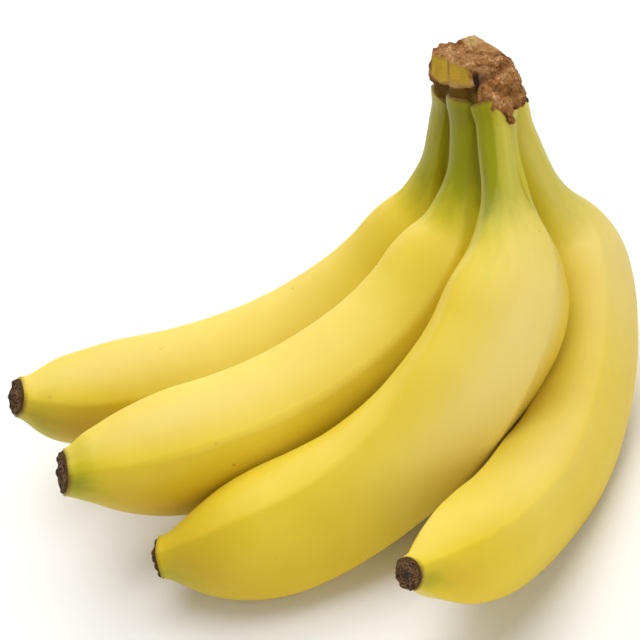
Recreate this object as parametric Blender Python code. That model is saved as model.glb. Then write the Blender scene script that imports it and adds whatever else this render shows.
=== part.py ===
"""A bunch of four ripe bananas, still joined at the crown and lying on their outer curves.

World frame, in metres: +Z up, the fruits point towards -X and the crown rises at +X. The
origin is on the surface that the bunch rests on, below the middle of the bunch.
"""
import math

import bmesh
import bpy
import numpy as np
from mathutils import Matrix, Vector

# Each banana hangs from its root, where its neck leaves the crown. The neck sets off `lean`
# degrees from straight down, towards the compass heading `lean_heading` (0 is +X, 90 is +Y).
# It turns away by `neck_turn`, and then the fruit curls by `curl` towards `curl_heading`.
# A `curl_power` below 1 puts more of the curl near the shoulder. `roll` turns the ridges.
BANANAS = {
    "1": dict(root=(0.0724, 0.0699, 0.0943), lean=24, lean_heading=163, curl_heading=184,
              neck_turn=-12, curl=116, curl_power=0.50, neck=0.051, body=0.171,
              radius=0.01775, roll=4),
    "2": dict(root=(0.0750, 0.0565, 0.0969), lean=25, lean_heading=-143, curl_heading=190,
              neck_turn=-1, curl=96, curl_power=0.49, neck=0.045, body=0.164,
              radius=0.01975, roll=-6),
    "3": dict(root=(0.0810, 0.0457, 0.0995), lean=46, lean_heading=-113, curl_heading=170,
              neck_turn=-6, curl=95, curl_power=0.59, neck=0.051, body=0.159,
              radius=0.02025, roll=-8),
    "4": dict(root=(0.0855, 0.0534, 0.0905), lean=28, lean_heading=-85, curl_heading=-126,
              neck_turn=-36, curl=144, curl_power=0.40, neck=0.050, body=0.171,
              radius=0.01625, roll=2),
}
NEIGHBOURS = (("1", "2"), ("2", "3"), ("3", "4"), ("2", "4"), ("1", "4"), ("1", "3"))

NECK_TURN_START = 0.25   # shares of the neck's length: where its own turn begins,
NECK_TURN_SPAN = 1.15    # the length it is spread over,
CURL_START = 0.90        # and where the fruit's curl takes over

NECK_RADIUS = 0.006
NECK_TUCK = 0.010        # how far a neck is modelled up past its root, before the crown's cut
SHOULDER_START = 0.022   # the neck starts to widen this far before its end
SHOULDER_LENGTH = 0.040  # and reaches full girth over this length
SHOULDER_POWER = 0.63
TAPER_LENGTH = 0.049     # the fruit narrows over its last stretch
TAPER_POWER = 2.5
TIP_RADIUS = 0.0056

RIDGES = (-54, 54, 126, 180, -126)  # degrees round the section from the inside of the curl
RIDGE_HEIGHT = 0.055                # as a share of the radius
RIDGE_WIDTH = math.radians(20)

STATIONS = 38            # cross-sections along a banana
SIDES = 20               # corners of a cross-section: every ridge falls on a corner

BLOSSOM_LENGTH = 0.0035  # dried blossom end, the last of the taper
NIB_RADIUS = 0.0018      # it draws in to a blunt nib
NIB_LENGTH = 0.0015
BLOSSOM_SIDES = 14

CROWN_MIDDLE = (0.0784, 0.0564, 0.0958)
CROWN_LEAN = 25.2        # degrees from straight up
CROWN_LEAN_HEADING = 52.6
CROWN_ROW_HEADING = -69.5  # the row of necks 1, 2 and 3 runs this way
CROWN_HALF_ROW = 0.0205
CROWN_HALF_DEPTH = 0.0135
CROWN_OFFSET = (-0.0020, 0.0025)   # of its outline from the middle, along the row and across
CROWN_SIDES = 18
CROWN_CUT_DEPTH = 0.0100 # the cut side of the crown is flat, this far from the middle
CROWN_CUT_TILT = 8       # degrees that each of its two cut faces turns from the row
# Height above the crown's base, and the outline's size there as a share of full size.
CROWN_LEVELS = ((0.0, 0.92), (0.003, 1.0), (0.010, 0.98), (0.016, 0.86), (0.020, 0.55))
CROWN_SLOPE = 38         # degrees that the far side of its top falls
CROWN_SLOPE_ALONG = 0.25 # part of that fall is along the row instead of across it
CROWN_SLOPE_START = (0.0, 0.0015, 0.0165)

GAP = 0.0003             # between two pieces that touch
PRESS_GAP = 0.0007       # between two bananas that press flat against each other
MERGE_DISTANCE = 1e-6

PEEL_COLOUR = (0.80, 0.60, 0.12, 1.0)
CROWN_COLOUR = (0.33, 0.18, 0.09, 1.0)
BLOSSOM_COLOUR = (0.05, 0.03, 0.02, 1.0)


def clear_scene():
    for item in list(bpy.data.objects):
        bpy.data.objects.remove(item, do_unlink=True)


def make_material(name, colour, roughness):
    material = bpy.data.materials.new(name)
    material.use_nodes = True
    shader = material.node_tree.nodes["Principled BSDF"]
    shader.inputs["Base Color"].default_value = colour
    shader.inputs["Roughness"].default_value = roughness
    shader.inputs["Metallic"].default_value = 0.0
    return material


def finish_object(name, mesh_data, material):
    """Close the bmesh into a named, smooth-shaded object with outward faces."""
    bmesh.ops.recalc_face_normals(mesh_data, faces=mesh_data.faces)
    mesh = bpy.data.meshes.new(name)
    mesh_data.to_mesh(mesh)
    mesh_data.free()
    mesh.shade_smooth()
    mesh.set_sharp_from_angle(angle=math.radians(40))
    mesh.materials.append(material)
    item = bpy.data.objects.new(name, mesh)
    bpy.context.scene.collection.objects.link(item)
    return item


def heading_vector(heading, tilt=0.0):
    """Unit vector towards a compass heading, tilted up by `tilt` degrees."""
    turn, rise = math.radians(heading), math.radians(tilt)
    return np.array((math.cos(turn) * math.cos(rise), math.sin(turn) * math.cos(rise),
                     math.sin(rise)))


def smoothstep(x):
    x = np.clip(x, 0.0, 1.0)
    return x * x * (3.0 - 2.0 * x)


class Axis:
    """The centreline of one banana, and the directions across it."""

    STEPS = 400

    def __init__(self, spec):
        self.spec = spec
        self.length = spec["neck"] + spec["body"]
        start = heading_vector(spec["lean_heading"], spec["lean"] - 90.0)
        inward = heading_vector(spec["curl_heading"])
        inward = inward - inward.dot(start) * start
        inward /= np.linalg.norm(inward)
        self.side = np.cross(start, inward)
        self.along = np.linspace(-NECK_TUCK, self.length, self.STEPS)
        turn = self.turn_angle(self.along)
        self.tangents = np.cos(turn)[:, None] * start + np.sin(turn)[:, None] * inward
        steps = (self.tangents[1:] + self.tangents[:-1]) / 2 * (self.along[1] - self.along[0])
        points = np.vstack([np.zeros(3), np.cumsum(steps, axis=0)])
        root = np.array(spec["root"])
        self.points = points - self.interpolate(points, 0.0) + root
        self.radii = self.girth(self.along)

    def turn_angle(self, s):
        neck, body = self.spec["neck"], self.spec["body"]
        neck_turn = smoothstep((s / neck - NECK_TURN_START) / NECK_TURN_SPAN)
        curl_start = CURL_START * neck
        curl = np.clip((s - curl_start) / (neck + body - curl_start), 0.0, 1.0)
        return (math.radians(self.spec["neck_turn"]) * neck_turn
                + math.radians(self.spec["curl"]) * curl ** self.spec["curl_power"])

    def girth(self, s):
        """Mean radius of the section at distance s along the centreline."""
        rise = smoothstep((s - self.spec["neck"] + SHOULDER_START) / SHOULDER_LENGTH)
        radius = NECK_RADIUS + (self.spec["radius"] - NECK_RADIUS) * rise ** SHOULDER_POWER
        taper = np.clip((s - self.length + TAPER_LENGTH) / TAPER_LENGTH, 0.0, 1.0)
        return radius - (radius - TIP_RADIUS) * taper ** TAPER_POWER

    def interpolate(self, values, s):
        return np.array([np.interp(s, self.along, values[:, k]) for k in range(3)])

    def frame(self, s):
        """Point, inward and sideways directions at distance s."""
        tangent = self.interpolate(self.tangents, s)
        tangent /= np.linalg.norm(tangent)
        return self.interpolate(self.points, s), np.cross(self.side, tangent), self.side

    def surface_point(self, s, angle):
        point, inward, side = self.frame(s)
        reach = float(self.girth(s)) * section(angle - math.radians(self.spec["roll"]))
        return point + reach * (math.cos(angle) * inward + math.sin(angle) * side)

    def nearest(self, point):
        index = int(np.argmin(np.linalg.norm(self.points - point, axis=1)))
        return self.points[index], self.radii[index]


def section(angle):
    """Radius of the rounded five-ridged section, as a share of its mean radius."""
    mean = 1.0 + RIDGE_HEIGHT * len(RIDGES) * RIDGE_WIDTH * math.sqrt(math.pi) / math.tau
    total = 1.0
    for ridge in RIDGES:
        away = (angle - math.radians(ridge) + math.pi) % math.tau - math.pi
        total += RIDGE_HEIGHT * math.exp(-(away / RIDGE_WIDTH) ** 2)
    return total / mean


def press_apart(point, own, own_s, others):
    """Move a surface point back to its own side of the plane between two touching fruits."""
    own_middle, own_radius = own.interpolate(own.points, own_s), float(own.girth(own_s))
    for other in others:
        other_middle, other_radius = other.nearest(own_middle)
        across = other_middle - own_middle
        distance = np.linalg.norm(across)
        across /= distance
        reach = distance * own_radius / (own_radius + other_radius) - PRESS_GAP / 2
        excess = (point - own_middle).dot(across) - reach
        if excess > 0.0:
            point = point - excess * across
    return point


def cut(mesh_data, point, normal):
    """Cut away what lies beyond a plane, and close the hole with one flat face."""
    geometry = mesh_data.verts[:] + mesh_data.edges[:] + mesh_data.faces[:]
    result = bmesh.ops.bisect_plane(mesh_data, geom=geometry, plane_co=Vector(point),
                                    plane_no=Vector(normal), dist=MERGE_DISTANCE / 10,
                                    clear_outer=True)
    rim = [edge for edge in result["geom_cut"] if isinstance(edge, bmesh.types.BMEdge)]
    if rim:
        bmesh.ops.holes_fill(mesh_data, edges=rim)


def stack_rings(levels, sides):
    """A closed solid from rings of the given (height, radius), each extruded from the last."""
    mesh_data = bmesh.new()
    height, radius = levels[0]
    bmesh.ops.create_circle(mesh_data, segments=sides, radius=radius)
    bmesh.ops.translate(mesh_data, verts=mesh_data.verts, vec=(0.0, 0.0, height))
    rim = mesh_data.edges[:]
    for next_height, next_radius in levels[1:]:
        grown = bmesh.ops.extrude_edge_only(mesh_data, edges=rim)["geom"]
        verts = [item for item in grown if isinstance(item, bmesh.types.BMVert)]
        rim = [item for item in grown if isinstance(item, bmesh.types.BMEdge)
               and all(end in verts for end in item.verts)]
        share = next_radius / radius
        bmesh.ops.scale(mesh_data, verts=verts, vec=(share, share, 1.0))
        bmesh.ops.translate(mesh_data, verts=verts, vec=(0.0, 0.0, next_height - height))
        height, radius = next_height, next_radius
    ends = [edge for edge in mesh_data.edges if edge.is_boundary]
    bmesh.ops.holes_fill(mesh_data, edges=ends)
    bmesh.ops.recalc_face_normals(mesh_data, faces=mesh_data.faces)
    return mesh_data


def crown_frame():
    """The crown's own axes: along the row of necks, across it, and up."""
    up = heading_vector(CROWN_LEAN_HEADING, 90.0 - CROWN_LEAN)
    row = heading_vector(CROWN_ROW_HEADING)
    row = row - row.dot(up) * up
    row /= np.linalg.norm(row)
    return row, np.cross(up, row), up


def build_banana(number, axes, material):
    axis = axes[number]
    others = [axes[a if b == number else b] for a, b in NEIGHBOURS if number in (a, b)]
    peel_length = axis.length - BLOSSOM_LENGTH
    mesh_data = bmesh.new()
    bmesh.ops.create_grid(mesh_data, x_segments=STATIONS, y_segments=SIDES, size=0.5)
    for vert in mesh_data.verts:
        s = -NECK_TUCK + (vert.co.x + 0.5) * (peel_length + NECK_TUCK)
        angle = vert.co.y * math.tau + math.radians(axis.spec["roll"])
        vert.co = Vector(press_apart(axis.surface_point(s, angle), axis, s, others))
    bmesh.ops.remove_doubles(mesh_data, verts=mesh_data.verts, dist=MERGE_DISTANCE)
    rims = [edge for edge in mesh_data.edges if edge.is_boundary]
    bmesh.ops.holes_fill(mesh_data, edges=rims)
    bmesh.ops.recalc_face_normals(mesh_data, faces=mesh_data.faces)
    up = crown_frame()[2]
    cut(mesh_data, np.array(CROWN_MIDDLE) - GAP * up, up)
    cut(mesh_data, (0.0, 0.0, 0.0), (0.0, 0.0, -1.0))
    return finish_object(f"banana_{number}", mesh_data, material)


def build_blossom_end(number, axes, material):
    """The dried end of the flower: the last of the taper, drawn in to a blunt nib."""
    axis = axes[number]
    start = axis.length - BLOSSOM_LENGTH + GAP
    base_radius = float(axis.girth(start)) - GAP
    tip_radius = float(axis.girth(axis.length))
    rim = BLOSSOM_LENGTH - GAP
    levels = ((0.0, base_radius), (rim, tip_radius), (rim + NIB_LENGTH, NIB_RADIUS))
    mesh_data = stack_rings(levels, BLOSSOM_SIDES)
    point, inward, side = axis.frame(start)
    tangent = np.cross(inward, side)
    place = Matrix((inward, side, tangent)).transposed().to_4x4()
    place.translation = Vector(point)
    bmesh.ops.transform(mesh_data, matrix=place, verts=mesh_data.verts)
    return finish_object(f"blossom_end_{number}", mesh_data, material)


def build_crown(material):
    """The piece of stalk that holds the necks, cut flat on one side and sloping on the other."""
    mesh_data = stack_rings(CROWN_LEVELS, CROWN_SIDES)
    bmesh.ops.scale(mesh_data, verts=mesh_data.verts,
                    vec=(CROWN_HALF_ROW, CROWN_HALF_DEPTH, 1.0))
    bmesh.ops.translate(mesh_data, verts=mesh_data.verts, vec=(*CROWN_OFFSET, 0.0))
    bmesh.ops.recalc_face_normals(mesh_data, faces=mesh_data.faces)
    for tilt in (CROWN_CUT_TILT, -CROWN_CUT_TILT):
        turn = math.radians(tilt)
        cut(mesh_data, (0.0, -CROWN_CUT_DEPTH, 0.0), (math.sin(turn), -math.cos(turn), 0.0))
    slope = math.radians(CROWN_SLOPE)
    fall = math.sin(slope)
    cut(mesh_data, CROWN_SLOPE_START, (CROWN_SLOPE_ALONG * fall, fall, math.cos(slope)))
    row, across, up = crown_frame()
    place = Matrix((row, across, up)).transposed().to_4x4()
    place.translation = Vector(CROWN_MIDDLE)
    bmesh.ops.transform(mesh_data, matrix=place, verts=mesh_data.verts)
    return finish_object("crown", mesh_data, material)


def main():
    clear_scene()
    peel = make_material("banana_peel", PEEL_COLOUR, 0.45)
    stalk = make_material("corky_stalk", CROWN_COLOUR, 0.85)
    dried = make_material("dried_blossom", BLOSSOM_COLOUR, 0.90)
    axes = {number: Axis(spec) for number, spec in BANANAS.items()}
    build_crown(stalk)
    for number in BANANAS:
        build_banana(number, axes, peel)
        build_blossom_end(number, axes, dried)


main()
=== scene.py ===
import math

import bmesh
import bpy
import numpy as np
from mathutils import Matrix, Vector, noise


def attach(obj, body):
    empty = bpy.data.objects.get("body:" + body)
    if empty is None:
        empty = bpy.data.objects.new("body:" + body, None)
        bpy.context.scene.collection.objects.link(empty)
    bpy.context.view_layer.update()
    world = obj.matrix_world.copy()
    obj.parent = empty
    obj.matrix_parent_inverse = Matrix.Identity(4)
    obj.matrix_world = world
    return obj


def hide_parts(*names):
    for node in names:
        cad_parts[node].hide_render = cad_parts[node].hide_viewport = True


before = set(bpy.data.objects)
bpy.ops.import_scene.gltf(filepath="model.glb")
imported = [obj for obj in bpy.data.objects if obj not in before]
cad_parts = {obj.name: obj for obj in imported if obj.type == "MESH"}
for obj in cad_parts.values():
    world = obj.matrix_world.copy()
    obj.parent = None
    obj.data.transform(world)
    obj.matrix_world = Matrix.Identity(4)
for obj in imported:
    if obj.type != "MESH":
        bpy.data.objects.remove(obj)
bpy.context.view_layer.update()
mm = 0.001

cameraSetup = {
    "lookAt": (0.004, 0.039, 0.050),
    "distance": 0.9135,
    "downwards": 36.0,      # degrees below level
    "roll": -21.5,          # degrees; the bunch's up then leans to the left
    "lens": 156.8,          # mm, on a sensor of this width
    "sensorWidth": 36.0,
    "clipStart": 0.01,
}


def addCamera():
    turn = (Matrix.Rotation(math.radians(90.0 - cameraSetup["downwards"]), 4, "X")
            @ Matrix.Rotation(math.radians(cameraSetup["roll"]), 4, "Z"))
    data = bpy.data.cameras.new("studioCamera")
    data.lens = cameraSetup["lens"]
    data.sensor_width = cameraSetup["sensorWidth"]
    data.clip_start = cameraSetup["clipStart"]
    camera = bpy.data.objects.new("studioCamera", data)
    back = turn @ Vector((0.0, 0.0, cameraSetup["distance"]))
    camera.matrix_world = Matrix.Translation(Vector(cameraSetup["lookAt"]) + back) @ turn
    bpy.context.scene.collection.objects.link(camera)
    bpy.context.scene.camera = camera


addCamera()
print("camera placed")


def linear(hexColour):
    channels = [int(hexColour[k:k + 2], 16) / 255 for k in (1, 3, 5)]
    return tuple(c / 12.92 if c <= 0.04045 else ((c + 0.055) / 1.055) ** 2.4
                 for c in channels) + (1.0,)


def addNode(tree, kind, inputs=None, stops=None, **settings):
    # inputs: {name or number: a value, a hex colour, or the output of another node}
    # stops: [(place, hex colour or grey)], of which the first two are the ramp's own
    node = tree.nodes.new(kind)
    for name, value in settings.items():
        setattr(node, name, value)
    for key, value in (inputs or {}).items():
        if isinstance(value, bpy.types.NodeSocket):
            tree.links.new(value, node.inputs[key])
        else:
            node.inputs[key].default_value = linear(value) if isinstance(value, str) else value
    for number, (place, colour) in enumerate(stops or ()):
        elements = node.color_ramp.elements
        stop = elements[number] if number < 2 else elements.new(place)
        stop.position = place
        stop.color = linear(colour) if isinstance(colour, str) else (colour,) * 3 + (1.0,)
    return node


def newMaterial(name, finish):
    material = bpy.data.materials.new(name)
    material.use_nodes = True
    shader = material.node_tree.nodes["Principled BSDF"]
    shader.inputs["Roughness"].default_value = finish["roughness"]
    shader.inputs["Specular IOR Level"].default_value = finish["specular"]
    return material, material.node_tree, shader


studio = {
    "worldColour": "#FFFFFF",
    "worldStrength": 0.26,
    "backgroundStrength": 1.0,      # what the camera sees of the world
    "exposure": -0.05,
    "floorSize": 9.0,
    "floorGap": 0.2 * mm,           # between the floor and the fruits that lie on it
}
# place, aim, size in metres and power in watts of each soft box
softBoxes = {
    "keyOverhead": {"place": (0.08, 0.05, 1.1), "aim": (0.0, 0.0, 0.04), "size": 0.9, "power": 7.3},
    "rearGlow": {"place": (0.20, 1.15, 0.85), "aim": (0.0, 0.0, 0.05), "size": 1.8, "power": 20.5},
    "fillFront": {"place": (0.35, -1.2, 0.60), "aim": (0.02, 0.0, 0.05), "size": 0.9, "power": 7.0},
}


def lightStudio():
    scene = bpy.context.scene
    scene.view_settings.view_transform = "Standard"
    scene.view_settings.look = "None"
    scene.view_settings.exposure = studio["exposure"]
    world = bpy.data.worlds.new("paleStudio")
    world.use_nodes = True
    tree = world.node_tree
    background = tree.nodes["Background"]
    background.inputs["Color"].default_value = linear(studio["worldColour"])
    seen = addNode(tree, "ShaderNodeLightPath").outputs["Is Camera Ray"]
    extra = studio["backgroundStrength"] - studio["worldStrength"]
    strength = addNode(tree, "ShaderNodeMath", {0: seen, 1: extra, 2: studio["worldStrength"]},
                       operation="MULTIPLY_ADD")
    tree.links.new(strength.outputs[0], background.inputs["Strength"])
    scene.world = world
    for name, box in softBoxes.items():
        data = bpy.data.lights.new(name, "AREA")
        data.size = box["size"]
        data.energy = box["power"]
        light = bpy.data.objects.new(name, data)
        light.location = box["place"]
        towards = Vector(box["aim"]) - Vector(box["place"])
        light.rotation_euler = towards.to_track_quat("-Z", "Y").to_euler()
        scene.collection.objects.link(light)


# Seamless studio paper: matt and off-white, without grain. The soft boxes don't reach its far
# parts, which glow instead, so that it is pale all over.
paperFinish = {
    "colour": "#F4F3F1", "roughness": 0.9, "specular": 0.2,
    "farGlow": 0.85, "farGlowStart": 0.6, "farGlowEnd": 1.15,       # metres from its middle
}


def paperMaterial():
    material, tree, shader = newMaterial("paleSeamlessPaper", paperFinish)
    for socket in ("Base Color", "Emission Color"):
        shader.inputs[socket].default_value = linear(paperFinish["colour"])
    place = addNode(tree, "ShaderNodeTexCoord").outputs["Object"]
    away = addNode(tree, "ShaderNodeVectorMath", {0: place}, operation="LENGTH")
    glow = addNode(tree, "ShaderNodeMapRange",
                   {0: away.outputs["Value"], 1: paperFinish["farGlowStart"],
                    2: paperFinish["farGlowEnd"], 4: paperFinish["farGlow"]},
                   interpolation_type="SMOOTHSTEP")
    tree.links.new(glow.outputs[0], shader.inputs["Emission Strength"])
    return material


def buildFloor():
    work = bmesh.new()
    bmesh.ops.create_grid(work, x_segments=1, y_segments=1, size=studio["floorSize"] / 2)
    bmesh.ops.translate(work, verts=work.verts, vec=(0.0, 0.0, -studio["floorGap"]))
    mesh = bpy.data.meshes.new("studioFloor")
    work.to_mesh(mesh)
    work.free()
    mesh.materials.append(paperMaterial())
    floor = bpy.data.objects.new("studioFloor", mesh)
    bpy.context.scene.collection.objects.link(floor)


lightStudio()
buildFloor()
print("studio lit")


def headingVector(heading, tilt=0.0):
    turn, rise = math.radians(heading), math.radians(tilt)
    return np.array((math.cos(turn) * math.cos(rise), math.sin(turn) * math.cos(rise),
                     math.sin(rise)))


def fade(value, start, width):
    # rises smoothly from 0 at start to 1 a width further on; a width below 0 goes the other way
    x = np.clip((value - start) / width, 0.0, 1.0)
    return x * x * (3.0 - 2.0 * x)


def softPositive(x, softness):
    return softness * np.logaddexp(0.0, x / softness)   # max(x, 0) with a rounded corner


def axesMatrix(xAxis, yAxis, zAxis, origin):
    place = Matrix((xAxis, yAxis, zAxis)).transposed().to_4x4()
    place.translation = Vector(origin)
    return place


def growRim(work, rim):
    # extrudes an open rim in place, and gives the new vertices and the new rim
    grown = bmesh.ops.extrude_edge_only(work, edges=rim)["geom"]
    verts = [item for item in grown if isinstance(item, bmesh.types.BMVert)]
    edges = [item for item in grown if isinstance(item, bmesh.types.BMEdge)
             and all(end in verts for end in item.verts)]
    return verts, edges


def closeHoles(work):
    bmesh.ops.holes_fill(work, edges=[edge for edge in work.edges if edge.is_boundary])


def finishPiece(name, work, material, replaced):
    bmesh.ops.recalc_face_normals(work, faces=work.faces)
    mesh = bpy.data.meshes.new(name)
    work.to_mesh(mesh)
    work.free()
    mesh.shade_smooth()
    mesh.materials.append(material)
    piece = bpy.data.objects.new(name, mesh)
    bpy.context.scene.collection.objects.link(piece)
    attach(piece, "root")
    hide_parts(replaced)
    print(name, "has", len(mesh.vertices), "vertices")


# Each banana starts at its root under the crown. The neck sets off "lean" from straight down,
# towards "leanHeading", and turns by "neckTurn". Then the fruit curls by "curl" to "curlHeading".
# Lengths are in metres and angles in degrees. An angle round the fruit is 0 inside its curl.
# "neck" and "body" are lengths, and "radius" and "nose" half its thickness in the middle and at the
# tip. "lip" is how far below the root the neck's upper edge is, "nib" how tall the scar's nib is,
# and "green" how green the neck is.
# "twist" is the main ridge: distance along and angle.
# "swells" make it fuller or slimmer in places: distance along, half length and height.
# "noseShift" is how far its nose is set off from the curl.
# "folds" are raised lines on its skin: distance along, angle, half length, half width and height.
# "tints" are soft patches: distance along, angle, half length, half width, kind and strength.
# Some are painted light: pale tan ones on upper faces are painted sheen, ochre ones painted shade
# on lower sides, and some brown ones painted shade on the necks and along a ridge.
bananas = {
    "1": {
        "root": (0.0724, 0.0699, 0.0943), "lean": 24, "leanHeading": 163, "curlHeading": 184,
        "neckTurn": -12, "curl": 116, "curlPower": 0.50, "neck": 0.051, "body": 0.171,
        "radius": 0.0180, "nose": 0.0060, "nib": 1.5, "lip": 0.0004, "green": 0.85, "seed": 3,
        "twist": ((0.02, -50), (0.14, -48), (0.20, -58)),
        "swells": ((0.210, 0.010, 0.0014),), "noseShift": (0.0002, 0.0, 0.0005), "folds": (),
        # painted light among these: the ochre patch by the tip is painted shade, the two brown
        # patches on the neck painted shade, and the two tan patches on the upper faces painted
        # sheen
        "tints": (
            (0.217, -95, 0.010, 45, "green", 0.45), (0.216, -145, 0.014, 40, "green", 0.45),
            (0.207, -100, 0.022, 42, "shadeOchre", 1.0), (0.030, -75, 0.018, 20, "brownAndShade", 0.65),
            (0.006, -25, 0.013, 90, "brownAndShade", 0.5), (0.217, -95, 0.010, 45, "brownAndShade", 0.3),
            (0.190, -5, 0.040, 38, "tanAndSheen", 0.5), (0.120, 15, 0.050, 50, "tanAndSheen", 0.3),
        ),
    },
    "2": {
        "root": (0.0750, 0.0565, 0.0969), "lean": 25, "leanHeading": -143, "curlHeading": 190,
        "neckTurn": -1, "curl": 96, "curlPower": 0.49, "neck": 0.045, "body": 0.164,
        "radius": 0.0200, "nose": 0.0068, "nib": 1.0, "lip": -0.0017, "green": 1.0, "seed": 5,
        "twist": ((0.02, -60), (0.08, -63), (0.16, -67), (0.20, -75)),
        "swells": ((0.203, 0.005, 0.0009), (0.183, 0.012, -0.0005)),
        "noseShift": (-0.0006, 0.0, -0.0017), "folds": (),
        # painted light among these: the ochre patch is painted shade on its lower side, the two
        # brown patches on the neck painted shade, and the two tan patches on the upper faces
        # painted sheen
        "tints": (
            (0.207, -70, 0.008, 75, "green", 0.5), (0.2065, -98, 0.009, 28, "green", 0.4),
            (0.204, -145, 0.010, 38, "green", 0.45), (0.185, -125, 0.035, 45, "shadeOchre", 0.6),
            (0.024, -92, 0.020, 16, "brownAndShade", 0.25), (0.003, -40, 0.011, 90, "brownAndShade", 0.5),
            (0.2065, -98, 0.009, 28, "brownAndShade", 0.4), (0.170, -25, 0.040, 30, "tanAndSheen", 0.5),
            (0.110, -20, 0.040, 45, "tanAndSheen", 0.3),
        ),
    },
    "3": {
        "root": (0.0810, 0.0457, 0.0995), "lean": 46, "leanHeading": -113, "curlHeading": 170,
        "neckTurn": -6, "curl": 95, "curlPower": 0.59, "neck": 0.051, "body": 0.159,
        "radius": 0.0205, "nose": 0.0064, "nib": 1.2, "lip": 0.0004, "green": 0.6, "seed": 8,
        "twist": ((0.006, -101), (0.020, -92), (0.040, -60), (0.060, -47), (0.086, -53),
                  (0.130, -68), (0.155, -74), (0.205, -79)),
        "swells": ((0.098, 0.020, 0.0006),), "noseShift": (-0.0004, 0.0, 0.0006),
        "folds": ((0.029, -177, 0.010, 10, 0.0014),),
        # painted light among these: the two ochre patches are painted shade on its lower side, the
        # thin brown line by the fold a painted shadow along the ridge, and the brown at the neck's
        # top painted shade under the crown
        "tints": (
            (0.016, -55, 0.030, 42, "green", 0.6), (0.014, -125, 0.024, 38, "tanAndSheen", 0.6),
            (0.060, -130, 0.036, 50, "tanAndSheen", 0.7), (0.206, -155, 0.010, 50, "green", 0.6),
            (0.200, -115, 0.016, 50, "shadeOchre", 0.7), (0.165, -150, 0.030, 40, "shadeOchre", 0.35),
            (0.024, -34, 0.010, 13, "brownAndShade", 0.6), (0.029, -162, 0.010, 4, "brownAndShade", 0.55),
            (0.002, -60, 0.012, 75, "brownAndShade", 0.5), (0.105, -125, 0.035, 45, "tanAndSheen", 0.45),
        ),
    },
    "4": {
        "root": (0.0855, 0.0534, 0.0905), "lean": 28, "leanHeading": -85, "curlHeading": -126,
        "neckTurn": -36, "curl": 144, "curlPower": 0.40, "neck": 0.050, "body": 0.171,
        "radius": 0.0166, "nose": 0.0049, "nib": 0.5, "lip": 0.0, "green": 0.5, "seed": 12,
        "twist": ((0.02, -75), (0.045, -68), (0.065, -58), (0.118, -61), (0.145, -67), (0.20, -76)),
        "swells": ((0.051, 0.011, 0.0017), (0.135, 0.020, 0.0004)),
        "noseShift": (0.0, 0.0, 0.0), "folds": (),
        # painted light among these: the tan patch on its upper face, 0.15 along, is painted sheen,
        # and the ochre patch by the tip painted shade
        "tints": (
            (0.060, -75, 0.035, 50, "tanAndSheen", 0.8), (0.015, -75, 0.025, 60, "tanAndSheen", 0.5),
            (0.2165, -130, 0.0055, 45, "brownAndShade", 0.38), (0.2165, -130, 0.0055, 45, "green", 0.65),
            (0.150, -40, 0.045, 45, "tanAndSheen", 0.5), (0.214, -120, 0.014, 40, "shadeOchre", 0.6),
        ),
    },
}
# the fruits that press on each one, in the order in which they do
neighbours = {"1": ("2", "4", "3"), "2": ("1", "3", "4"),
              "3": ("2", "4", "1"), "4": ("3", "2", "1")}
peelShape = {
    "spineStart": -0.010, "spinePoints": 401,
    "neckRadius": 0.006, "neckTuck": 0.005, "neckFlare": 0.0012, "neckFlareLength": 0.008,
    "lipDepth": 0.0026, "lipLength": 0.0012,        # above its lip the neck draws in
    "neckTurnStart": 0.25, "neckTurnSpan": 1.15, "curlStart": 0.90,     # shares of the neck
    "shoulderStart": 0.022, "shoulderLength": 0.040, "shoulderPower": 0.63,
    "shoulderSmoothing": 0.022, "bendSmoothing": 0.020,
    "taperLength": 0.049, "taperPower": 2.5, "noseStart": 0.5,      # nose as a share of the taper
    "noseInset": 0.0032, "noseSoftness": 0.0010, "noseShiftLength": 0.010,
    "ridges": (0, 85, 155, 210, 265),               # degrees round the section from the main ridge
    "ridgeHeight": 0.12, "ridgeRounding": 6,        # share of the radius, and degrees
    "crestHeight": 0.010, "crestWidth": 5,          # the raised line along each ridge
    "lumps": ((0.028, 0.00035), (0.009, 0.00010)),  # size and height of its soft unevenness
    "lumpsStart": 0.006, "lumpsSpan": 0.012,        # that comes in from this radius over this span
    "pressGap": 0.00005, "softness": 0.0001,        # between pressed skins, and of the bend there
    "stations": 220, "sides": 144, "crowding": 0.75, "weld": 0.002 * mm,
    "blossomLength": 0.0015,        # what the tip leaves to the scar
    # steps in which the peel's edge turns in there: scale, and distance back in mm
    "turnedEdge": ((0.96, -0.25), (0.86, 0.1), (0.80, 1.2)),
    "tipReach": 3,                  # nose radii round the tip within which an open edge is that one
}
peelPaint = {
    # channel and sign of each kind of tint; brown also carries painted shade, as tan does painted
    # sheen and ochre painted shade
    "kinds": {"green": (0, 1), "tanAndSheen": (1, 1), "shadeOchre": (1, -1), "brownAndShade": (2, 1)},
    "greenPastNeck": 0.006, "greenFade": 0.028,
    # the dried edges at the lip and the tip
    "edgeBrown": 0.8, "lipBrown": 0.0012, "lipFade": 0.0016, "tipBrown": 0.0020, "tipFade": 0.0024,
}


def smoothed(values, width):
    window = np.hanning(2 * int(width / 2) + 3)[1:-1]
    padded = np.pad(values, len(window) // 2, mode="edge")
    return np.convolve(padded, window / window.sum(), mode="valid")


def bell(x, halfWidth):
    return np.exp(-(x / halfWidth) ** 2)


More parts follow.
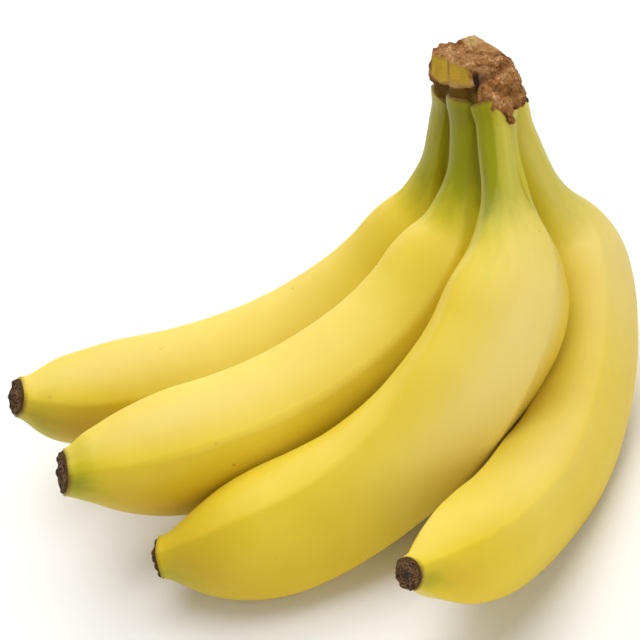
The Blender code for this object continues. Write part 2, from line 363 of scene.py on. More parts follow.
def radiiOf(banana, along):
    # from the crown down: flare and neck, shoulder, body, taper and nose
    fromNeck, fromTip = along - banana["neck"], along - banana["neck"] - banana["body"]
    rise = fade(fromNeck, -peelShape["shoulderStart"], peelShape["shoulderLength"])
    extra = banana["radius"] - peelShape["neckRadius"]
    radius = peelShape["neckRadius"] + extra * rise ** peelShape["shoulderPower"]
    radius = smoothed(radius, peelShape["shoulderSmoothing"] / (along[1] - along[0]))
    taper = np.clip(fromTip / peelShape["taperLength"] + 1.0, 0.0, 1.0)
    tipRadius = banana["nose"] - peelShape["noseInset"]
    radius -= (radius - tipRadius) * taper ** peelShape["taperPower"]
    missing = softPositive(banana["nose"] - radius, peelShape["noseSoftness"])
    radius += fade(taper, peelShape["noseStart"], 1.0 - peelShape["noseStart"]) * missing
    for place, halfLength, height in banana["swells"]:
        radius += height * bell(along - place, halfLength)
    radius += peelShape["neckFlare"] * fade(along / peelShape["neckFlareLength"], 1.0, -1.0)
    return radius - peelShape["lipDepth"] * fade(along, banana["lip"], -peelShape["lipLength"])


def spineOf(banana):
    length = banana["neck"] + banana["body"]
    start = headingVector(banana["leanHeading"], banana["lean"] - 90.0)
    inward = headingVector(banana["curlHeading"])
    inward = inward - inward.dot(start) * start
    inward /= np.linalg.norm(inward)
    along = np.linspace(peelShape["spineStart"], length, peelShape["spinePoints"])
    step = along[1] - along[0]
    neckTurn = fade(along / banana["neck"], peelShape["neckTurnStart"], peelShape["neckTurnSpan"])
    curlStart = peelShape["curlStart"] * banana["neck"]
    curl = np.clip((along - curlStart) / (length - curlStart), 0.0, 1.0) ** banana["curlPower"]
    turn = math.radians(banana["neckTurn"]) * neckTurn + math.radians(banana["curl"]) * curl
    turn = smoothed(turn, peelShape["bendSmoothing"] / step)
    tangents = np.cos(turn)[:, None] * start + np.sin(turn)[:, None] * inward
    steps = (tangents[1:] + tangents[:-1]) / 2 * step
    points = np.vstack([np.zeros(3), np.cumsum(steps, axis=0)])
    atRoot = np.array([np.interp(0.0, along, points[:, k]) for k in range(3)])
    atTip = fade(along - length, -peelShape["noseShiftLength"], peelShape["noseShiftLength"])
    points += np.array(banana["root"]) - atRoot + atTip[:, None] * np.array(banana["noseShift"])
    return {"banana": banana, "length": length, "along": along, "points": points,
            "tangents": tangents, "side": np.cross(start, inward), "radii": radiiOf(banana, along)}


def framesAt(spine, s):
    # points on the spine, and the directions there inwards of its curl and along it
    point, tangent = (np.stack([np.interp(s, spine["along"], spine[what][:, k]) for k in range(3)],
                               axis=-1) for what in ("points", "tangents"))
    tangent /= np.linalg.norm(tangent, axis=-1, keepdims=True)
    return point, np.cross(spine["side"], tangent), tangent


def placeOn(spine, s):
    point, inward, tangent = framesAt(spine, s)
    return axesMatrix(inward, spine["side"], tangent, point)


def section(angle):
    # five soft ridges with flattish faces between them, as a share of the mean radius
    degrees = np.arange(360.0)
    ridges = np.array(peelShape["ridges"] + (360,))
    face = np.searchsorted(ridges, degrees, side="right") - 1
    start, end = ridges[face], ridges[face + 1]
    fromMiddle = 2.0 * (degrees - start) / (end - start) - 1.0
    reach = 1.0 + peelShape["ridgeHeight"] * fromMiddle ** 2
    reach = smoothed(np.tile(reach, 3), 2.0 * peelShape["ridgeRounding"])[360:720]
    for ridge in peelShape["ridges"]:
        away = (degrees - ridge + 180.0) % 360.0 - 180.0
        reach += peelShape["crestHeight"] * bell(away, peelShape["crestWidth"])
    closed = np.append(reach, reach[0])
    return np.interp(np.degrees(angle) % 360.0, np.arange(361.0), closed) / reach.mean()


def softSpot(s, angle, place, middle, halfLength, halfWidth):
    aside = np.degrees((angle - math.radians(middle) + math.pi) % math.tau - math.pi)
    return np.exp(-((s - place) / halfLength) ** 2 - (aside / halfWidth) ** 2)


def paintOf(banana, s, angle):
    # how green, how tan (or ochre, below 0) and how brown the skin is; the tan also carries painted
    # sheen, the ochre is painted shade, and the brown also carries painted shade
    paint = np.zeros((len(s), 3))
    greenEnd = banana["neck"] + peelPaint["greenPastNeck"]
    paint[:, 0] = banana["green"] * fade(s, greenEnd, -peelPaint["greenFade"])
    for *spot, kind, strength in banana["tints"]:
        channel, sign = peelPaint["kinds"][kind]
        paint[:, channel] += sign * strength * softSpot(s, angle, *spot)
    toTip = banana["neck"] + banana["body"] - peelShape["blossomLength"] - s
    edges = fade(s, banana["lip"] + peelPaint["lipBrown"], -peelPaint["lipFade"])
    edges += fade(toTip, peelPaint["tipBrown"], -peelPaint["tipFade"])
    paint[:, 2] += peelPaint["edgeBrown"] * edges
    return np.clip(paint, -1.0, 1.0)


def stationsOf(spine):
    # the distances along the spine of the peel's rings, closer at both ends
    evenly = np.linspace(0.0, 1.0, peelShape["stations"] + 1)
    crowded = evenly - peelShape["crowding"] * np.sin(math.tau * evenly) / math.tau
    first, last = -peelShape["neckTuck"], spine["length"] - peelShape["blossomLength"]
    return first + (last - first) * crowded


def pressFlat(place, ring, middle, radius, other):
    # flattens the skin along the plane between this fruit and another
    gaps = np.linalg.norm(other["points"][None] - middle[:, None], axis=2)
    nearest = np.argmin(gaps, axis=1)
    across = other["points"][nearest] - middle
    distance = np.linalg.norm(across, axis=1)
    across /= distance[:, None]
    limit = distance * radius / (radius + other["radii"][nearest]) - peelShape["pressGap"] / 2
    excess = np.sum((place - middle[ring]) * across[ring], axis=1) - limit[ring]
    return place - softPositive(excess, peelShape["softness"])[:, None] * across[ring]


def turnEdgeIn(work, spine):
    tip, _, tangent = framesAt(spine, spine["length"] - peelShape["blossomLength"])
    near = peelShape["tipReach"] * spine["banana"]["nose"]
    rim = [edge for edge in work.edges
           if edge.is_boundary and (edge.verts[0].co - Vector(tip)).length < near]
    for narrowing, back in peelShape["turnedEdge"]:
        verts, rim = growRim(work, rim)
        middle = sum((vert.co for vert in verts), Vector()) / len(verts)
        bmesh.ops.scale(work, verts=verts, vec=(narrowing,) * 3, space=Matrix.Translation(-middle))
        bmesh.ops.translate(work, verts=verts, vec=Vector(tangent) * -back * mm)


def buildBanana(number, spines, material):
    spine = spines[number]
    banana = spine["banana"]
    work = bmesh.new()
    bmesh.ops.create_grid(work, x_segments=peelShape["stations"], y_segments=peelShape["sides"],
                          size=0.5)
    flat = np.array([vert.co[:2] for vert in work.verts])
    ring = np.rint((flat[:, 0] + 0.5) * peelShape["stations"]).astype(int)
    angle = flat[:, 1] * math.tau
    s = stationsOf(spine)
    middle, inward, _ = framesAt(spine, s)
    radius = np.interp(s, spine["along"], spine["radii"])
    ridgeAt, ridgeAngle = np.array(banana["twist"]).T
    turned = angle + np.radians(np.interp(s, ridgeAt, ridgeAngle))[ring]
    # the skin as if the fruit were straight, which its patterns follow; the seed makes each differ
    straight = np.stack([s[ring] + banana["seed"], radius[ring] * np.cos(turned),
                         radius[ring] * np.sin(turned)], axis=-1)
    lumps = sum(height * np.array([noise.noise(Vector(point / size)) for point in straight])
                for size, height in peelShape["lumps"])
    lumps *= fade(radius, peelShape["lumpsStart"], peelShape["lumpsSpan"])[ring]
    reach = radius[ring] * section(angle) + lumps
    for *spot, height in banana["folds"]:
        reach += height * softSpot(s[ring], turned, *spot)
    outward = np.cos(turned)[:, None] * inward[ring] + np.sin(turned)[:, None] * spine["side"]
    place = middle[ring] + reach[:, None] * outward
    for other in neighbours[number]:
        place = pressFlat(place, ring, middle, radius, spines[other])
    place[:, 2] = softPositive(place[:, 2], peelShape["softness"])      # and where it lies
    placeLayer = work.verts.layers.float_vector.new("peelPlace")
    paintLayer = work.verts.layers.float_vector.new("peelPaint")
    paints = paintOf(banana, s[ring], turned)
    for vert, point, where, paint in zip(work.verts, place, straight, paints):
        vert.co = point
        vert[placeLayer] = where
        vert[paintLayer] = paint
    bmesh.ops.remove_doubles(work, verts=work.verts, dist=peelShape["weld"])
    turnEdgeIn(work, spine)
    closeHoles(work)
    finishPiece(f"peel_{number}", work, material, f"banana_{number}")


# Ripe dessert banana peel: waxy skin with a broad sheen, faint lengthwise fibres, a few freckles.
peelFinish = {
    "ripe": "#E0C430", "pale": "#E3C93E", "deep": "#DCBE2A", "green": "#909006", "lime": "#B6B412",
    # tan also serves as painted sheen on upper faces, ochre as painted shade, brown also as painted
    # shade
    "tanAndSheen": "#E4CE7C", "shadeOchre": "#C69C10", "brownAndShade": "#70500C", "freckle": "#94702E",
    "mottleSize": 26 * mm, "fibreSpacing": 0.9 * mm, "streakSpacing": 3.6 * mm,
    "alongFibres": 0.08,            # how fast fibres and streaks change lengthwise
    "greenUneven": 0.7, "brownUneven": 1.2,
    "freckleSpacing": 9 * mm, "freckleEdge": (0.03, 0.09), "freckleChance": (0.70, 0.85),
    "freckleStrength": 0.5,
    "roughness": 0.42, "specular": 0.25, "bump": 0.22, "bumpDepth": 0.1 * mm,
}


def peelMaterial():
    look = peelFinish
    material, tree, shader = newMaterial("ripeBananaPeel", look)
    place = addNode(tree, "ShaderNodeAttribute", attribute_name="peelPlace").outputs["Vector"]
    paint = addNode(tree, "ShaderNodeAttribute", attribute_name="peelPaint").outputs["Vector"]
    green, tanAndSheen, brownAndShade = addNode(tree, "ShaderNodeSeparateXYZ", {0: paint}).outputs
    mottle = addNode(tree, "ShaderNodeTexNoise", {"Vector": place, "Scale": 1 / look["mottleSize"],
                                                  "Detail": 3.0, "Roughness": 0.5})
    skin = addNode(tree, "ShaderNodeValToRGB", {0: mottle.outputs[0]},
                   stops=[(0.3, look["deep"]), (0.7, look["pale"]), (0.5, look["ripe"])])
    lengthwise = addNode(tree, "ShaderNodeVectorMath",
                         {0: place, 1: (look["alongFibres"], 1.0, 1.0)},
                         operation="MULTIPLY").outputs[0]
    fibres = addNode(tree, "ShaderNodeTexNoise",
                     {"Vector": lengthwise, "Scale": 1 / look["fibreSpacing"], "Detail": 2.0})
    streaks = addNode(tree, "ShaderNodeTexNoise",
                      {"Vector": lengthwise, "Scale": 1 / look["streakSpacing"], "Detail": 3.0})
    uneven = addNode(tree, "ShaderNodeMath", {0: streaks.outputs[0], 1: 0.5},
                     operation="SUBTRACT").outputs[0]
    shadeOchre = addNode(tree, "ShaderNodeMath", {0: tanAndSheen, 1: -1.0}, operation="MULTIPLY", use_clamp=True)
    greenness = addNode(tree, "ShaderNodeMath", {0: uneven, 1: look["greenUneven"], 2: green},
                        operation="MULTIPLY_ADD", use_clamp=True)
    greens = addNode(tree, "ShaderNodeValToRGB", {0: greenness.outputs[0]},
                     stops=[(0.25, look["lime"]), (0.95, look["green"])])
    greenShare = addNode(tree, "ShaderNodeMath", {0: greenness.outputs[0], 1: green},
                         operation="MULTIPLY")
    greenShare = addNode(tree, "ShaderNodeMath", {0: greenShare.outputs[0], 1: 0.5},
                         operation="POWER")
    specks = addNode(tree, "ShaderNodeTexVoronoi",
                     {"Vector": place, "Scale": 1 / look["freckleSpacing"]})
    inner, outer = look["freckleEdge"]
    speck = addNode(tree, "ShaderNodeValToRGB", {0: specks.outputs["Distance"]},
                    stops=[(inner, 1.0), (outer, 0.0)])
    rare, common = look["freckleChance"]
    chance = addNode(tree, "ShaderNodeValToRGB", {0: specks.outputs["Color"]},
                     stops=[(rare, 0.0), (common, look["freckleStrength"])])
    freckle = addNode(tree, "ShaderNodeMath", {0: speck.outputs[0], 1: chance.outputs[0]},
                      operation="MULTIPLY")
    brownness = addNode(tree, "ShaderNodeMath", {0: uneven, 1: look["brownUneven"], 2: brownAndShade},
                        operation="MULTIPLY_ADD", use_clamp=True)
    brownShare = addNode(tree, "ShaderNodeMath", {0: brownness.outputs[0], 1: brownAndShade},
                         operation="MULTIPLY")
    colour = skin.outputs[0]
    # the tan mix also lays painted sheen, the ochre mix painted shade and the brown mix also
    # painted shade
    for share, over in ((tanAndSheen, look["tanAndSheen"]), (shadeOchre.outputs[0], look["shadeOchre"]),
                        (greenShare.outputs[0], greens.outputs[0]),
                        (freckle.outputs[0], look["freckle"]),
                        (brownShare.outputs[0], look["brownAndShade"])):
        colour = addNode(tree, "ShaderNodeMix", {0: share, 6: colour, 7: over},
                         data_type="RGBA").outputs[2]
    tree.links.new(colour, shader.inputs["Base Color"])
    bump = addNode(tree, "ShaderNodeBump", {"Height": fibres.outputs[0], "Strength": look["bump"],
                                            "Distance": look["bumpDepth"]})
    tree.links.new(bump.outputs[0], shader.inputs["Normal"])
    return material


# The flower dries to a ragged dark scar on the tip: thin rim, sunken fibrous face and small nib.
blossomShape = {
    "sides": 60,
    # distance past the peel's edge in mm, and radius as a share of the nose's
    "levels": ((-1.0, 0.78), (-0.5, 0.86), (-0.1, 0.93), (0.15, 0.985), (0.5, 1.0), (0.85, 0.97),
               (0.95, 0.90), (0.8, 0.82), (0.55, 0.72), (0.5, 0.60), (0.6, 0.50), (0.8, 0.42),
               (1.2, 0.36), (1.7, 0.28), (2.2, 0.20), (2.5, 0.12), (2.6, 0.04)),
    "nibStart": 0.8 * mm, "nibShare": 0.45,     # the nib's height and share of the radius
    "firmBelow": 0.2 * mm,                      # below this the scar sits smoothly in the peel
    "fibreRate": 17 / 3, "fibreHeight": 0.06,   # noise over a unit circle, and share of the radius
    "ragRate": 2.6, "ragTwist": 150, "ragSeed": 3.1, "ragWidth": 0.05, "ragHeight": 0.8 * mm,
    "ragGrowth": 1.4,                           # it comes in faster than the radius grows
    "grain": 0.7 * mm, "grainHeight": 0.12 * mm,
}


def stackRings(levels, sides):
    work = bmesh.new()
    height, radius = levels[0]
    bmesh.ops.create_circle(work, segments=sides, radius=radius)
    bmesh.ops.translate(work, verts=work.verts, vec=(0.0, 0.0, height))
    rim = work.edges[:]
    for nextHeight, nextRadius in levels[1:]:
        verts, rim = growRim(work, rim)
        share = nextRadius / radius
        bmesh.ops.scale(work, verts=verts, vec=(share, share, 1.0))
        bmesh.ops.translate(work, verts=verts, vec=(0.0, 0.0, nextHeight - height))
        height, radius = nextHeight, nextRadius
    closeHoles(work)
    return work


def fray(vert, around, radius, share, seed):
    # how far a point of the scar is moved outwards and upwards
    form = blossomShape
    fibre = noise.noise(around * form["fibreRate"] + Vector((0.0, 0.0, seed)))
    height = vert.co.z * form["ragTwist"] + seed * form["ragSeed"]
    ragged = noise.noise(around * form["ragRate"] + Vector((0.0, 0.0, height)))
    grain = noise.noise(vert.co / form["grain"] + Vector((seed, 0.0, 0.0)))
    return (around * (form["fibreHeight"] * fibre + form["ragWidth"] * ragged) * radius,
            form["ragHeight"] * ragged * min(share * form["ragGrowth"], 1.0)
            + form["grainHeight"] * grain)


def buildBlossomEnd(number, spines, material):
    spine = spines[number]
    nose, nib, seed = (spine["banana"][what] for what in ("nose", "nib", "seed"))
    work = stackRings([(height * mm, share * nose) for height, share in blossomShape["levels"]],
                      blossomShape["sides"])
    placeLayer = work.verts.layers.float_vector.new("scarPlace")
    for vert in work.verts:
        radius = math.hypot(vert.co.x, vert.co.y)
        share = radius / nose
        angle = math.atan2(vert.co.y, vert.co.x)
        around = Vector((math.cos(angle), math.sin(angle), 0.0))
        vert[placeLayer] = (share, around.x, around.y)
        outwards, upwards = fray(vert, around, radius, share, seed)
        firm = vert.co.z <= blossomShape["firmBelow"]
        if share < blossomShape["nibShare"]:
            vert.co.z = blossomShape["nibStart"] + (vert.co.z - blossomShape["nibStart"]) * nib
        if not firm:
            vert.co += outwards
            vert.co.z += upwards
    place = placeOn(spine, spine["length"] - peelShape["blossomLength"])
    bmesh.ops.transform(work, matrix=place, verts=work.verts)
    finishPiece(f"blossom_scar_{number}", work, material, f"blossom_end_{number}")


# Dried flower tissue: matt, dark, with paler brown fibres running out from the nib.
blossomFinish = {
    "dark": "#2C1D11", "fibre": "#8F6A47", "rim": "#4E3614", "nib": "#2A1D18",
    "spread": (9.0, 4.5, 4.5),      # how fast the fibres change outwards and round the scar
    "roughness": 0.9, "specular": 0.25, "bump": 0.6, "bumpDepth": 0.3 * mm,
}


def blossomMaterial():
    look = blossomFinish
    material, tree, shader = newMaterial("driedBlossomScar", look)
    place = addNode(tree, "ShaderNodeAttribute", attribute_name="scarPlace").outputs["Vector"]
    outwards = addNode(tree, "ShaderNodeSeparateXYZ", {0: place}).outputs[0]
    spread = addNode(tree, "ShaderNodeVectorMath", {0: place, 1: look["spread"]},
                     operation="MULTIPLY")
    fibres = addNode(tree, "ShaderNodeTexNoise",
                     {"Vector": spread.outputs[0], "Scale": 1.0, "Detail": 3.0})
    face = addNode(tree, "ShaderNodeValToRGB", {0: fibres.outputs[0]},
                   stops=[(0.38, look["dark"]), (0.68, look["fibre"])])
    centre = addNode(tree, "ShaderNodeValToRGB", {0: outwards}, stops=[(0.15, 0.7), (0.5, 0.0)])
    edge = addNode(tree, "ShaderNodeValToRGB", {0: outwards}, stops=[(0.84, 0.0), (0.95, 1.0)])
    colour = face.outputs[0]
    for share, over in ((centre.outputs[0], look["nib"]), (edge.outputs[0], look["rim"])):
        colour = addNode(tree, "ShaderNodeMix", {0: share, 6: colour, 7: over},
                         data_type="RGBA").outputs[2]
    tree.links.new(colour, shader.inputs["Base Color"])
    bump = addNode(tree, "ShaderNodeBump", {"Height": fibres.outputs[0], "Strength": look["bump"],
                                            "Distance": look["bumpDepth"]})
    tree.links.new(bump.outputs[0], shader.inputs["Normal"])
    return material


# The crown is the piece of the plant's stem that the necks grow from. Its frame has X along the row
# of necks 1, 2 and 3, Y across it and Z up out of the bunch. Places and sizes are in millimetres in
# that frame, apart from its middle, which is in metres in the object's, and the voxel.
crownShape = {
    "middle": (0.0784, 0.0564, 0.0958), "lean": 25.2, "leanHeading": 52.6, "rowHeading": -69.5,
    "blocks": {
        "body": ((-15.6, -7.2, 15.2), (-16.4, -6, 16.6), (-15.2, -2.5, 17.7), (-13.9, 1.5, 17.6),
                 (-4.5, 2.5, 15.4), (-1.4, 4.5, 13.9), (-6, 9, 14.5), (-2.7, 10.4, 14.9),
                 (2.7, 11, 11.7), (6.3, 10, 8.2), (10.5, 9, 4.2), (13.1, 8.8, 3.2),
                 (13.2, 7.3, 0.5), (14.5, 5.8, -1), (5, -5.5, 12.6), (9.2, -7.5, 12.2),
                 (7.7, -0.3, 13.1), (12.6, 1.7, 9), (14.5, -4, 7), (15.5, 0, 3), (-18.5, -7.6, 8.4),
                 (-18.3, -7.4, 6.8), (-16.9, -7.6, 11.6), (-15.6, -5.5, 2), (-16.5, 0, 6),
                 (-15, 3, -1), (-9, 7, -2), (0, 9, -2.5), (8, 9.5, -2.5), (12, 4, -2),
                 (13, -2, -1), (9, -7.3, 1.5), (0, -7.5, 1), (-9, -7, 1)),
        "peak": ((-13.8, 1.5, 18.0), (-8.1, 5, 20.1), (-4.5, 8.5, 16.5), (-2.9, 10, 14.9),
                 (-4.5, 2.5, 15.9), (-1.4, 4.5, 14.2), (0.1, 7, 13.6), (-13, 2, 10), (-4, 2.5, 8),
                 (0, 7, 8), (-3, 10, 8), (-10, 8, 10)),
    },
    # outer faces of the two knife cuts; each is the front of a block this thick with rounded edges,
    # whose faces count as one where they turn by less than "flatWithin" degrees
    "cuts": (((-14.0, -8.3, 15.6), (-2.8, -8.9, 15.0), (-3.0, -9.3, 6.2), (-9.6, -9.2, 5.5),
              (-15.8, -8.7, 8.0)),
             ((-3.3, -9.1, 15.0), (9.0, -9.2, 12.9), (9.6, -9.6, 6.9), (6.3, -9.8, 6.0),
              (-3.5, -9.6, 6.1))),
    "cutThickness": 4.5, "cutRounding": 0.9, "roundingSegments": 3, "flatWithin": 3,
    # a point counts as at most "cutDepth" inside the edge, and less when off the face's plane
    "cutDepth": 3.0, "offPlane": 0.6, "offPlaneLoss": 6.0,
    # lobes of corky tissue run down over the necks: middle and half sizes
    "lobes": {
        "front": ((15.4, -5.0, 1.4), (4.3, 3.0, 3.8)),
        "nearDrip": ((16.3, -2.3, 1.8), (3.8, 3.0, 3.6)),
        "side": ((15.5, 1.5, 1.0), (3.5, 3.0, 3.0)),
        "rear": ((13.6, 4.8, 1.5), (3.2, 3.0, 3.4)),
        "upperSide": ((13.2, 1.4, 6.2), (4.5, 5.0, 5.0)),
        "grey": ((10.4, -4.8, 8.4), (3.0, 3.0, 4.4)),
        "top": ((9.0, 2.4, 10.1), (4.5, 5.0, 4.0)),
        "dripTop": ((18.5, -2.7, -0.9), (1.9, 1.9, 1.9)),
        "dripNeck": ((18.6, -2.3, -2.6), (1.4, 1.4, 1.4)),
        "dripEnd": ((18.7, -2.2, -4.3), (1.6, 1.6, 1.6)),
    },
    "lobeSubdivisions": 3,
    "crater": ((11.8, -0.2, 11.5), (4.0, 4.0, 4.0)), "craterDepth": 0.7,
    # the notch is darkened with painted shade
    "notch": ((9.6, -7.6, 7.4), (2.2, 2.6, 4.6)), "notchDepth": 1.4,    # a dark hollow by the cuts
    "crease": ((-14, 1.3), (-4.5, 2.5), (-1.4, 4.5), (0.1, 7)),     # Y along the smooth peak's foot
    # collars round the tops of the necks
    "collarRadius": 6.7, "collarLength": 7.0, "collarPastLip": 0.3, "collarSides": 48,
    "voxel": 0.35 * mm, "smoothing": 3, "smoothingFactor": 0.5,
    "lumps": ((5.0, 0.8), (1.8, 0.8), (0.9, 0.3)),      # size and height
    # shares by which lumps are lower on the cuts, the peak, and the band of painted shade or the
    # grey lobe
    "cutCalm": 0.9, "peakCalm": 0.65, "bandCalm": 0.6,
    "greyShare": 0.5,       # how grey the grey lobe is
}
# Zones of its surface. Each is a product of fades, with what is measured, where the fade starts and
# how wide it is. A lobe or hollow measures 0 in its middle and 1 on its outside.
crownZones = {
    "beige": (("pastCrease", 0.0, 0.6), ("x", 0.6, -1.0), ("z", 12.8, 1.2)),
    # the band under the cuts is painted shade
    "shadedBand": (("z", 6.6, -1.2), ("y", -2.5, -2.0), ("x", 12.5, -1.5)),
    "grey": (("greyLobe", 1.3, -0.6),),
    # the back is darker brown, partly older bark and partly painted shade along its far edge
    "back": (("y", 8.0, 2.5),),
    "crater": (("crater", 1.0, -1.0),),
    # the hollow's dark is painted shade
    "shadedHollow": (("notch", 1.0, -1 / 1.6), ("onCut", 0.0, -1 / 1.5)),
    "rim": (("onCut", -0.7, 0.4), ("z", 10.5, -3.0)),
    "calmCut": (("onCut", -0.6, 1.0),),
}
# what reaches its material
crownMarks = ("onCut", "beige", "shadedBand", "grey", "back", "crater", "shadedHollow", "rim")


def crownMatrix():
    up = headingVector(crownShape["leanHeading"], 90.0 - crownShape["lean"])
    row = headingVector(crownShape["rowHeading"])
    row = row - row.dot(up) * up
    row /= np.linalg.norm(row)
    return axesMatrix(row, np.cross(up, row), up, crownShape["middle"]) @ Matrix.Scale(mm, 4)


def addBlock(work, corners, rounding=0.0):
    block = bmesh.new()
    for corner in corners:
        block.verts.new(corner)
    made = bmesh.ops.convex_hull(block, input=block.verts)
    spare = {item for item in made["geom_interior"] if isinstance(item, bmesh.types.BMVert)}
    bmesh.ops.delete(block, geom=list(spare), context="VERTS")
    if rounding:
        bmesh.ops.dissolve_limit(block, angle_limit=math.radians(crownShape["flatWithin"]),
                                 verts=block.verts, edges=block.edges)
        bmesh.ops.bevel(block, geom=block.edges, offset=rounding, profile=0.5, affect="EDGES",
                        segments=crownShape["roundingSegments"], material=-1)
    piece = bpy.data.meshes.new("block")
    block.to_mesh(piece)
    block.free()
    work.from_mesh(piece)
    bpy.data.meshes.remove(piece)


def fusedCopy(work):
    # joins overlapping closed shapes in one skin
    rough = bpy.data.meshes.new("crownRough")
    work.to_mesh(rough)
    work.free()
    holder = bpy.data.objects.new("crownRough", rough)
    bpy.context.scene.collection.objects.link(holder)
    fuse = holder.modifiers.new("fuse", "REMESH")
    fuse.mode = "VOXEL"
    fuse.voxel_size = crownShape["voxel"]
    evaluated = holder.evaluated_get(bpy.context.evaluated_depsgraph_get())
    fused = bpy.data.meshes.new_from_object(evaluated)
    bpy.data.objects.remove(holder)
    work = bmesh.new()
    work.from_mesh(fused)
    return work


def crownBlank(place, spines):
    # blocks, cut faces, lobes and the collars round the necks, fused and smoothed
    work = bmesh.new()
    for corners in crownShape["blocks"].values():
        addBlock(work, corners)
    for corners in crownShape["cuts"]:
        back = [(x, y + crownShape["cutThickness"], z) for x, y, z in corners]
        addBlock(work, list(corners) + back, crownShape["cutRounding"])
    for middle, half in crownShape["lobes"].values():
        lobe = bmesh.ops.create_icosphere(work, subdivisions=crownShape["lobeSubdivisions"],
                                          radius=1.0)["verts"]
        bmesh.ops.scale(work, verts=lobe, vec=half)
        bmesh.ops.translate(work, verts=lobe, vec=middle)
    bmesh.ops.transform(work, matrix=place, verts=work.verts)
    radius, length = crownShape["collarRadius"] * mm, crownShape["collarLength"] * mm
    for spine in spines.values():
        middle = spine["banana"]["lip"] + crownShape["collarPastLip"] * mm - length / 2
        bmesh.ops.create_cone(work, cap_ends=True, segments=crownShape["collarSides"],
                              radius1=radius, radius2=radius, depth=length,
                              matrix=placeOn(spine, middle))
    work = fusedCopy(work)
    for _ in range(crownShape["smoothing"]):
        bmesh.ops.smooth_vert(work, verts=work.verts, factor=crownShape["smoothingFactor"],
                              use_axis_x=True, use_axis_y=True, use_axis_z=True)
    work.normal_update()
    return work


def insideCut(where, corners):
    # millimetres inside the edge of a cut face, less when off its plane
    plane = sum(corner[1] for corner in corners) / len(corners)
    off = max(0.0, abs(where.y - plane) - crownShape["offPlane"])
    nearest = crownShape["cutDepth"] - crownShape["offPlaneLoss"] * off
    for (x0, _, z0), (x1, _, z1) in zip(corners, corners[1:] + corners[:1]):
        along = Vector((x1 - x0, z1 - z0)).normalized()
        nearest = min(nearest, along.y * (where.x - x0) - along.x * (where.z - z0))
    return nearest


def zonesAt(where):
    measures = {"x": where.x, "y": where.y, "z": where.z}
    measures["pastCrease"] = where.y - np.interp(where.x, *zip(*crownShape["crease"]))
    measures["onCut"] = max(insideCut(where, corners) for corners in crownShape["cuts"])
    for name, (middle, half) in (("greyLobe", crownShape["lobes"]["grey"]),
                                 ("crater", crownShape["crater"]), ("notch", crownShape["notch"])):
        off = where - Vector(middle)
        measures[name] = Vector(part / size for part, size in zip(off, half)).length
    zones = {name: math.prod(float(fade(measures[what], start, width))
                             for what, start, width in fades)
             for name, fades in crownZones.items()}
    zones["grey"] *= crownShape["greyShare"]
    zones["onCut"] = max(measures["onCut"], -1.0)
    return zones


def buildCrown(spines, material):
    place = crownMatrix()
    toCrown = place.inverted()
    work = crownBlank(place, spines)
    layers = {mark: work.verts.layers.float.new(mark) for mark in crownMarks}
    moves = []
    for vert in work.verts:
        where = toCrown @ vert.co
        zones = zonesAt(where)
        for mark, layer in layers.items():
            vert[layer] = zones[mark]
        calm = ((1.0 - crownShape["cutCalm"] * zones["calmCut"])
                * (1.0 - crownShape["peakCalm"] * zones["beige"])
                * (1.0 - crownShape["bandCalm"] * max(zones["shadedBand"], zones["grey"])))
        height = sum(high * noise.noise(where / size) for size, high in crownShape["lumps"])
        sunk = (crownShape["craterDepth"] * zones["crater"]
                + crownShape["notchDepth"] * zones["shadedHollow"])
        moves.append(vert.normal * mm * (height * calm - sunk))
    for vert, move in zip(work.verts, moves):
        vert.co += move
    finishPiece("crown_cushion", work, material, "crown")


# Corky scar tissue over fibrous stem: dry, matt and grainy, with waxy yellow flesh where it is cut.
crownFinish = {
    "cork": "#9C6A36", "corkDark": "#56300F", "corkPale": "#D0A06C", "crack": "#2C1608",
    "cut": "#C4A02C", "cutDeep": "#B49226", "cutEdge": "#B28852", "beige": "#BE9C64",
    # the band colour is painted shade, and the back colour partly painted shade
    "beigeRed": "#A07040", "shadedBand": "#604406", "grey": "#7E6448", "back": "#503420",
    # painted shade in the notch
    "shadedHollow": "#3A241C",
    "patch": 4.0 * mm, "granule": 1.5 * mm, "grain": 0.8 * mm, "cutPatch": 5 * mm,
    "grainWarp": 0.5 * mm,                                      # bends the seams between granules
    "patchTone": 0.7, "grainTone": 0.3, "toneShift": 0.19,      # make light and dark cork
    "seamGain": 2.4, "seamStart": -1.0, "craterSeams": 0.5,     # seams show in the paler patches
    "seamDepth": 0.8,
    "fleshInset": 2.0,      # mm inside a cut's edge where its flesh is at its full colour
    "roughness": 0.85, "specular": 0.2, "bump": 0.8, "bumpDepth": 0.4 * mm,
}


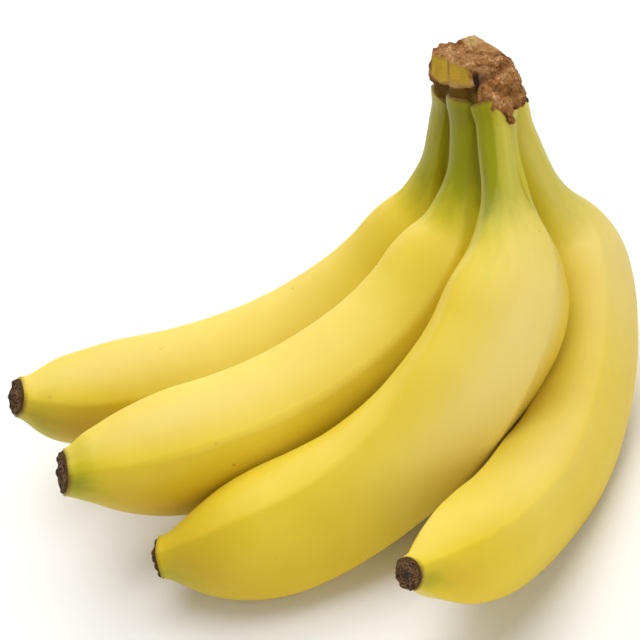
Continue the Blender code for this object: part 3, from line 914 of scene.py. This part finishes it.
def crownMaterial():
    look = crownFinish
    material, tree, shader = newMaterial("corkyBananaCrown", look)
    place = addNode(tree, "ShaderNodeTexCoord").outputs["Object"]
    zone = {mark: addNode(tree, "ShaderNodeAttribute", attribute_name=mark).outputs["Fac"]
            for mark in crownMarks}
    patches = addNode(tree, "ShaderNodeTexNoise", {"Vector": place, "Scale": 1 / look["patch"],
                                                   "Detail": 3.0}).outputs[0]
    grain = addNode(tree, "ShaderNodeTexNoise", {"Vector": place, "Scale": 1 / look["grain"],
                                                 "Detail": 3.0, "Roughness": 0.65})
    shift = addNode(tree, "ShaderNodeVectorMath",
                    {0: grain.outputs["Color"], 1: (look["grainWarp"],) * 3}, operation="MULTIPLY")
    warped = addNode(tree, "ShaderNodeVectorMath", {0: place, 1: shift.outputs[0]}, operation="ADD")
    granules = addNode(tree, "ShaderNodeTexVoronoi",
                       {"Vector": warped.outputs[0], "Scale": 1 / look["granule"]},
                       feature="DISTANCE_TO_EDGE")
    seams = addNode(tree, "ShaderNodeValToRGB", {0: granules.outputs["Distance"]},
                    stops=[(0.03, 0.9), (0.15, 0.0)])
    tone = addNode(tree, "ShaderNodeMath", {0: patches, 1: look["patchTone"], 2: look["toneShift"]},
                   operation="MULTIPLY_ADD")
    tone = addNode(tree, "ShaderNodeMath",
                   {0: grain.outputs[0], 1: look["grainTone"], 2: tone.outputs[0]},
                   operation="MULTIPLY_ADD")
    cork = addNode(tree, "ShaderNodeValToRGB", {0: tone.outputs[0]},
                   stops=[(0.55, look["corkDark"]), (0.86, look["corkPale"]), (0.70, look["cork"])])
    seamShare = addNode(tree, "ShaderNodeMath",
                        {0: patches, 1: look["seamGain"], 2: look["seamStart"]},
                        operation="MULTIPLY_ADD", use_clamp=True)
    seamShare = addNode(tree, "ShaderNodeMath",
                        {0: zone["crater"], 1: look["craterSeams"], 2: seamShare.outputs[0]},
                        operation="MULTIPLY_ADD", use_clamp=True)
    seamShare = addNode(tree, "ShaderNodeMath", {0: seams.outputs[0], 1: seamShare.outputs[0]},
                        operation="MULTIPLY").outputs[0]
    cutNoise = addNode(tree, "ShaderNodeTexNoise", {"Vector": place, "Scale": 1 / look["cutPatch"],
                                                    "Detail": 2.0})
    flesh = addNode(tree, "ShaderNodeValToRGB", {0: cutNoise.outputs[0]},
                    stops=[(0.38, look["cutDeep"]), (0.62, look["cut"])])
    beiges = addNode(tree, "ShaderNodeValToRGB", {0: patches},
                     stops=[(0.40, look["beigeRed"]), (0.60, look["beige"])])
    inside = addNode(tree, "ShaderNodeMath", {0: zone["onCut"], 1: 1 / look["fleshInset"]},
                     operation="MULTIPLY")
    onFlesh = addNode(tree, "ShaderNodeValToRGB", {0: inside.outputs[0]},
                      stops=[(0.1, 0.0), (0.9, 1.0)])
    colour = cork.outputs[0]
    # the back's darker brown is partly painted shade
    for share, over in ((seamShare, look["crack"]), (zone["back"], look["back"]),
                        (zone["beige"], beiges.outputs[0]), (zone["grey"], look["grey"]),
                        # the band and hollow colours lay painted shade
                        (zone["shadedBand"], look["shadedBand"]), (zone["shadedHollow"], look["shadedHollow"]),
                        (zone["rim"], look["cutEdge"]), (onFlesh.outputs[0], flesh.outputs[0])):
        colour = addNode(tree, "ShaderNodeMix", {0: share, 6: colour, 7: over},
                         data_type="RGBA").outputs[2]
    tree.links.new(colour, shader.inputs["Base Color"])
    rise = addNode(tree, "ShaderNodeMath",
                   {0: seamShare, 1: -look["seamDepth"], 2: grain.outputs[0]},
                   operation="MULTIPLY_ADD")
    bump = addNode(tree, "ShaderNodeBump", {"Height": rise.outputs[0], "Strength": look["bump"],
                                            "Distance": look["bumpDepth"]})
    tree.links.new(bump.outputs[0], shader.inputs["Normal"])
    return material


spines = {number: spineOf(banana) for number, banana in bananas.items()}
peel = peelMaterial()
for number in bananas:
    buildBanana(number, spines, peel)
print("bananas grown")
scar = blossomMaterial()
for number in bananas:
    buildBlossomEnd(number, spines, scar)
print("blossom scars made")
buildCrown(spines, crownMaterial())
print("crown made")
